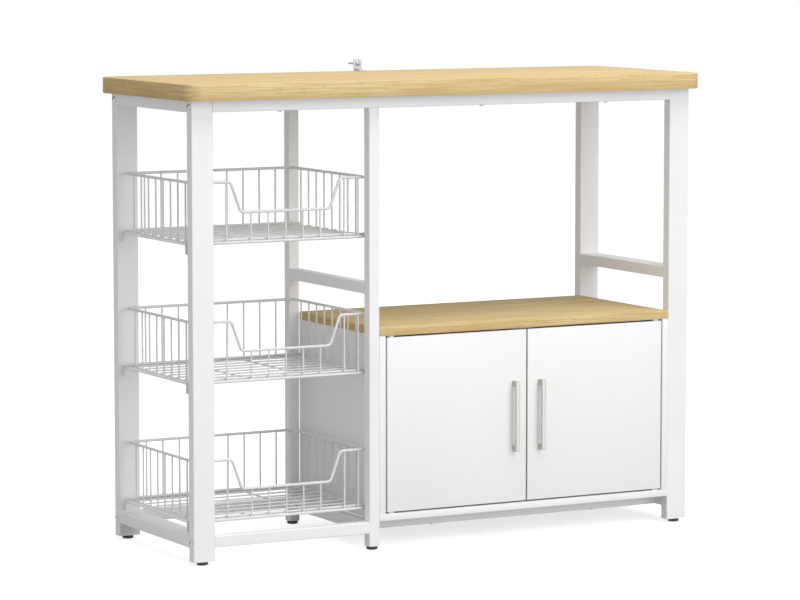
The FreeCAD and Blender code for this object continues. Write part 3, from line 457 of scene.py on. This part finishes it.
# Doors: inset melamine boards with a plastic band ironed on all four edges, flush with the front of the
# frame. They turn on steel pins in nylon bushes, and a magnetic catch under the shelf holds them shut.
# ABS edge band: duller than the faces, with faint chatter from the trimming cutter.
# Its grey is painted shade: it darkens the narrow gaps round the doors, where the band is seen.
gap_shade_band = new_finish("abs_band_painted_gap_shade")
CHATTER_WIDTH_MM = 3.0
place = add_node(gap_shade_band, "ShaderNodeTexCoord")["Object"]
chatter = add_node(gap_shade_band, "ShaderNodeTexNoise", {
    "Vector": place, "Scale": 1000 / CHATTER_WIDTH_MM})["Fac"]
shader = add_node(gap_shade_band, "ShaderNodeBsdfPrincipled", {
    "Base Color": add_node(gap_shade_band, "ShaderNodeValToRGB", {"Fac": chatter},
                           stops=[(0.30, "#D2D2D1"), (0.70, "#D9D9D8")])["Color"],
    "Roughness": add_node(gap_shade_band, "ShaderNodeMapRange", {
        "Value": chatter, "To Min": 0.52, "To Max": 0.62})["Result"],
    "IOR": 1.53})["BSDF"]
add_node(gap_shade_band, "ShaderNodeOutputMaterial", {"Surface": shader})

DOOR_EDGE = 0.0009
EDGE_FACING = 0.3
for side in ("left", "right"):
    body = "%s_door" % side
    door = new_piece(body + "_board", board(body, DOOR_EDGE), melamine, body)
    # The edge faces take the grey band, which paints shade into the door gaps.
    door.data.materials.append(gap_shade_band)
    for face in door.data.polygons:
        face.material_index = int(abs(face.normal.y) < EDGE_FACING)
    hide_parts(body)
    paint([body + "_pivot_pins", "%s_strike_plate" % side], zinc_plate)

# White nylon: a slightly warm, milky plastic with soft flow marks from the mould.
white_nylon = new_finish("nylon_white")
FLOW_WIDTH_MM = 4.0
place = add_node(white_nylon, "ShaderNodeTexCoord")["Object"]
flow = add_node(white_nylon, "ShaderNodeTexNoise", {
    "Vector": place, "Scale": 1000 / FLOW_WIDTH_MM})["Fac"]
shader = add_node(white_nylon, "ShaderNodeBsdfPrincipled", {
    "Base Color": add_node(white_nylon, "ShaderNodeValToRGB", {"Fac": flow},
                           stops=[(0.0, "#E2E1DC"), (1.0, "#ECEBE6")])["Color"],
    "Roughness": 0.5})["BSDF"]
add_node(white_nylon, "ShaderNodeOutputMaterial", {"Surface": shader})
paint(["pivot_bushes", "magnetic_catch"], white_nylon)


# Handles: die-cast zinc bows of flat section, nickel plated and brushed along their length to a satin
# sheen. Two screws from inside the door hold each one.
# Satin nickel: a pale warm grey whose fine brush lines stretch each highlight along the bar.
# The brush lines are really about 0.1 mm wide; they are drawn at 0.9 mm so that they show.
satin_nickel = new_finish("satin_nickel")
BRUSH_LENGTH_MM = 30.0
BRUSH_WIDTH_MM = 0.9
place = add_node(satin_nickel, "ShaderNodeTexCoord")["Object"]
brushed = add_node(satin_nickel, "ShaderNodeMapping", {
    "Vector": place,
    "Scale": (1000 / BRUSH_WIDTH_MM, 1000 / BRUSH_WIDTH_MM, 1000 / BRUSH_LENGTH_MM)})["Vector"]
lines = add_node(satin_nickel, "ShaderNodeTexNoise", {
    "Vector": brushed, "Scale": 1.0, "Detail": 2.0})["Fac"]
shader = add_node(satin_nickel, "ShaderNodeBsdfPrincipled", {
    "Base Color": add_node(satin_nickel, "ShaderNodeValToRGB", {"Fac": lines},
                           stops=[(0.30, "#B2B0AC"), (0.70, "#C2C0BC")])["Color"],
    "Roughness": add_node(satin_nickel, "ShaderNodeMapRange", {
        "Value": lines, "To Min": 0.48, "To Max": 0.60})["Result"],
    "Normal": add_node(satin_nickel, "ShaderNodeBump", {
        "Height": lines, "Strength": 0.05, "Distance": 0.0002})["Normal"],
    "Metallic": 1.0})["BSDF"]
add_node(satin_nickel, "ShaderNodeOutputMaterial", {"Surface": shader})

HANDLE_THICK = 0.006
HANDLE_LEG = 0.010
HANDLE_CORNER = 0.004
HANDLE_CORNER_STEPS = 6
HANDLE_EDGE = 0.0019
HANDLE_EDGE_STEPS = 4


def bow_handle(node):
    low, high = (Vector(corner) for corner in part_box(node))
    inner_y = low.y + HANDLE_THICK
    low_leg = low.z + HANDLE_LEG
    high_leg = high.z - HANDLE_LEG
    outline = [(high.y, low.z), (low.y, low.z), (low.y, high.z), (high.y, high.z), (high.y, high_leg),
               (inner_y, high_leg), (inner_y, low_leg), (high.y, low_leg)]
    bm = bmesh.new()
    side_face = bm.faces.new([bm.verts.new((low.x, y, z)) for y, z in outline])
    grown = bmesh.ops.extrude_face_region(bm, geom=[side_face])["geom"]
    bmesh.ops.translate(bm, verts=verts_of(grown), vec=(high.x - low.x, 0, 0))
    front_corners = [edge for edge in bm.edges
                     if abs(edge.verts[0].co.x - edge.verts[1].co.x) > SAME_POINT
                     and edge.verts[0].co.y < low.y + SAME_POINT]
    soften(bm, front_corners, HANDLE_CORNER, HANDLE_CORNER_STEPS)
    rims = [edge for edge in bm.edges if edge.calc_face_angle(0) > RIM_ANGLE
            and abs(edge.verts[0].co.x - edge.verts[1].co.x) < SAME_POINT
            and min(vert.co.y for vert in edge.verts) < high.y - SAME_POINT]
    soften(bm, rims, HANDLE_EDGE, HANDLE_EDGE_STEPS)
    return bm


for side in ("left", "right"):
    node = "%s_door_handle" % side
    body = "%s_door" % side
    handle = new_piece("%s_handle_bow" % side, bow_handle(node), satin_nickel, body)
    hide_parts(node)


# Baskets: white coated wire, welded where the wires cross, with a dipped front for reaching in.
# They hang on rods between the posts by the bent-down ends of two floor wires.
# Powder coat on wire: a little glossier than on the tubes, with slow changes where it ran together at the
# welds.
# Its grey is painted shade: the tubes' white, darkened to stand in for the shade that falls on the wires.
shaded_wire_paint = new_finish("wire_powder_coat_painted_shade")
RUN_WIDTH_MM = 18.0
place = add_node(shaded_wire_paint, "ShaderNodeTexCoord")["Object"]
runs = add_node(shaded_wire_paint, "ShaderNodeTexNoise", {
    "Vector": place, "Scale": 1000 / RUN_WIDTH_MM, "Detail": 2.0})["Fac"]
shader = add_node(shaded_wire_paint, "ShaderNodeBsdfPrincipled", {
    "Base Color": add_node(shaded_wire_paint, "ShaderNodeValToRGB", {"Fac": runs},
                           stops=[(0.35, "#DCDCDC"), (0.65, "#E3E3E3")])["Color"],
    "Roughness": add_node(shaded_wire_paint, "ShaderNodeMapRange", {
        "Value": runs, "To Min": 0.34, "To Max": 0.42})["Result"],
    "IOR": 1.5})["BSDF"]
add_node(shaded_wire_paint, "ShaderNodeOutputMaterial", {"Surface": shader})
paint(["bottom_basket", "middle_basket", "top_basket"], shaded_wire_paint)


# Wall bracket: a small zinc-plated steel angle, stamped and bent, that is screwed to the worktop's back
# edge and takes a screw to the wall so that the rack can't tip.
paint(["wall_bracket"], zinc_plate)


# Wood screws: zinc-plated pan heads with a cross recess. They run up through the rails into the boards,
# through the doors into the handles, and through the bracket. Only the wall screw's shank shows.
SCREW_HEAD_RADIUS = 0.0040
SCREW_HEAD_HEIGHT = 0.0024
SCREW_RIM_HEIGHT = 0.0005
SCREW_LAND_RADIUS = 0.0025
SCREW_HEAD_PROFILE = [(SCREW_HEAD_RADIUS, 0.0), (SCREW_HEAD_RADIUS, SCREW_RIM_HEIGHT), (0.0037, 0.0014),
                      (0.0031, 0.0021), (SCREW_LAND_RADIUS, SCREW_HEAD_HEIGHT)]
CROSS_REACH = 0.0019
CROSS_HALF_WIDTH = 0.0004
CROSS_DEPTH = 0.0014
SCREW_FROM_RAIL_END = 0.130
MIDDLE_SCREW_X = 0.070
BRACKET_THICK = 0.0016
WALL_SCREW_HEIGHT = 0.013
SCREW_TURN_DEGREES = 23
THREAD_PITCH = 0.0018
THREAD_ROOT = 0.0013
THREAD_CREST = 0.0020
THREAD_START = 0.0120
POINT_LENGTH = 0.0050
DOWN = Vector((0, 0, -1))
UP = Vector((0, 0, 1))
FRONT = Vector((0, -1, 0))
BACK = Vector((0, 1, 0))

one_arm = [(CROSS_REACH, -CROSS_HALF_WIDTH), (CROSS_REACH, CROSS_HALF_WIDTH),
           (CROSS_HALF_WIDTH, CROSS_HALF_WIDTH)]
cross = []
for quarter in range(4):
    turn = Matrix.Rotation(quarter * math.pi / 2, 2)
    cross.extend(turn @ Vector(corner) for corner in one_arm)
screw_numbers = itertools.count(1)


def screw_heads(node, seats, outward, body, shank=()):
    for seat in seats:
        number = next(screw_numbers)
        bm = bmesh.new()
        turned_solid(bm, list(shank) + SCREW_HEAD_PROFILE, HEAD_SIDES)
        sink_recess(bm, cross, SCREW_HEAD_HEIGHT, CROSS_DEPTH)
        stand_on(bm, seat, outward, SCREW_TURN_DEGREES * number)
        head = new_piece("wood_screw_%02d" % number, bm, zinc_plate, body)
    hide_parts(node)


rail_seats = []
bearer_seats = []
for row in ("front", "back"):
    low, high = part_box("%s_top_rail" % row)
    for x in (low[0] + SCREW_FROM_RAIL_END, MIDDLE_SCREW_X, high[0] - SCREW_FROM_RAIL_END):
        rail_seats.append((x, (low[1] + high[1]) / 2, low[2]))
    low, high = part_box("%s_cabinet_bearer" % row)
    for x in (low[0] + SCREW_FROM_RAIL_END, high[0] - SCREW_FROM_RAIL_END):
        bearer_seats.append((x, (low[1] + high[1]) / 2, low[2]))
screw_heads("worktop_screws", rail_seats, DOWN, "frame")
screw_heads("bearer_screws", bearer_seats, DOWN, "frame")
for side in ("left", "right"):
    low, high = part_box("%s_door_handle" % side)
    door_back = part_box("%s_door" % side)[1][1]
    seats = [((low[0] + high[0]) / 2, door_back, low[2] + HANDLE_LEG / 2),
             ((low[0] + high[0]) / 2, door_back, high[2] - HANDLE_LEG / 2)]
    screw_heads("%s_handle_screws" % side, seats, BACK, "%s_door" % side)

low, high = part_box("wall_bracket")
bracket_x = (low[0] + high[0]) / 2
bracket_seat = (bracket_x, (low[1] + high[1]) / 2, low[2] + BRACKET_THICK)
screw_heads("wall_bracket_screw", [bracket_seat], UP, "frame")
plate_y = high[1] - BRACKET_THICK
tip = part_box("wall_screw")[1][1] - plate_y
thread = [(0.0, -tip), (THREAD_ROOT, POINT_LENGTH - tip)]
depth = tip - POINT_LENGTH
while depth > THREAD_START:
    thread.extend([(THREAD_CREST, THREAD_PITCH / 2 - depth), (THREAD_ROOT, THREAD_PITCH - depth)])
    depth -= THREAD_PITCH
thread.append((THREAD_ROOT, 0.0))
wall_seat = (bracket_x, plate_y, low[2] + WALL_SCREW_HEIGHT)
screw_heads("wall_screw", [wall_seat], FRONT, "frame", thread)


# Floor, light and camera: a flat pale floor in a white room, which the camera sees as pure white but for
# the rack's own soft shadow. The large soft key stands in front, a little to the right and above, and the
# camera has the photograph's viewpoint, tilted down, with no lens shift.
def seen_directly(owner):
    rays = add_node(owner, "ShaderNodeLightPath")
    either = add_node(owner, "ShaderNodeMath", {0: rays["Is Camera Ray"], 1: rays["Is Glossy Ray"]},
                      operation="MAXIMUM")["Value"]
    return add_node(owner, "ShaderNodeMath", {0: either, 1: rays["Is Transmission Ray"]},
                    operation="MAXIMUM")["Value"]


FLOOR_HALF_SIZE = 30.0
FLOOR_DROP = 0.0005
# The camera sees the floor glow up to white; for the light it is a mid grey, so that little comes back up
FLOOR_GLOW = 0.70
AMBIENT = 0.42
floor_white = new_finish("studio_floor")
seen = seen_directly(floor_white)
glow = add_node(floor_white, "ShaderNodeMapRange", {"Value": seen, "To Max": FLOOR_GLOW})["Result"]
tone = add_node(floor_white, "ShaderNodeMixRGB", {
    "Fac": seen, "Color1": linear_colour("#ADADAD"), "Color2": linear_colour("#E0E0E0")})["Color"]
shader = add_node(floor_white, "ShaderNodeBsdfPrincipled", {
    "Base Color": tone, "Roughness": 1.0, "Specular IOR Level": 0.0, "Emission Color": (1, 1, 1, 1),
    "Emission Strength": glow})["BSDF"]
add_node(floor_white, "ShaderNodeOutputMaterial", {"Surface": shader})
bm = bmesh.new()
bmesh.ops.create_grid(bm, x_segments=1, y_segments=1, size=FLOOR_HALF_SIZE)
floor_mesh = bpy.data.meshes.new("studio_floor")
bm.to_mesh(floor_mesh)
bm.free()
floor_mesh.materials.append(floor_white)
floor = bpy.data.objects.new("studio_floor", floor_mesh)
floor.location.z = -FLOOR_DROP
bpy.context.collection.objects.link(floor)
floor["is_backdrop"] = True

scene = bpy.context.scene
scene.view_settings.view_transform = "Standard"
world = bpy.data.worlds.new("studio")
scene.world = world
world.use_nodes = True
world.node_tree.nodes.clear()
brightness = add_node(world, "ShaderNodeMapRange", {
    "Value": seen_directly(world), "To Min": AMBIENT, "To Max": 1.0})["Result"]
sky = add_node(world, "ShaderNodeBackground", {
    "Color": (1, 1, 1, 1), "Strength": brightness})["Background"]
add_node(world, "ShaderNodeOutputWorld", {"Surface": sky})


def area_light(name, spot, target, size, watts):
    lamp = bpy.data.lights.new(name, "AREA")
    lamp.shape = "SQUARE"
    lamp.size = size
    lamp.energy = watts
    holder = bpy.data.objects.new(name, lamp)
    holder.location = spot
    holder.rotation_euler = (Vector(target) - Vector(spot)).to_track_quat("-Z", "Y").to_euler()
    bpy.context.collection.objects.link(holder)


area_light("key", spot=(1.4, -5.4, 2.3), target=(0, 0, 0.4), size=4.0, watts=140)
area_light("overhead", spot=(0.2, -1.2, 4.0), target=(0, 0, 0.8), size=2.5, watts=87)
area_light("fill", spot=(-3.6, -2.0, 1.4), target=(0, 0, 0.4), size=2.5, watts=16)

# Fitted to the edges of the rack in the photograph; the focal length is in the photograph's pixels
SENSOR_MM = 36.0
PHOTO_WIDTH_PX = 800
FOCAL_PX = 3613.0
CAMERA_PLACE = (-3.0661, -5.6527, 1.0872)
CAMERA_YAW_DEGREES = -28.488
CAMERA_PITCH_DEGREES = -5.99
LEVEL_DEGREES = 90
camera_data = bpy.data.cameras.new("photo_camera")
camera_data.sensor_width = SENSOR_MM
camera_data.lens = FOCAL_PX * SENSOR_MM / PHOTO_WIDTH_PX
camera = bpy.data.objects.new("photo_camera", camera_data)
camera.location = CAMERA_PLACE
camera.rotation_euler = (math.radians(LEVEL_DEGREES + CAMERA_PITCH_DEGREES), 0,
                         math.radians(CAMERA_YAW_DEGREES))
bpy.context.collection.objects.link(camera)
scene.camera = camera

low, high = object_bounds()
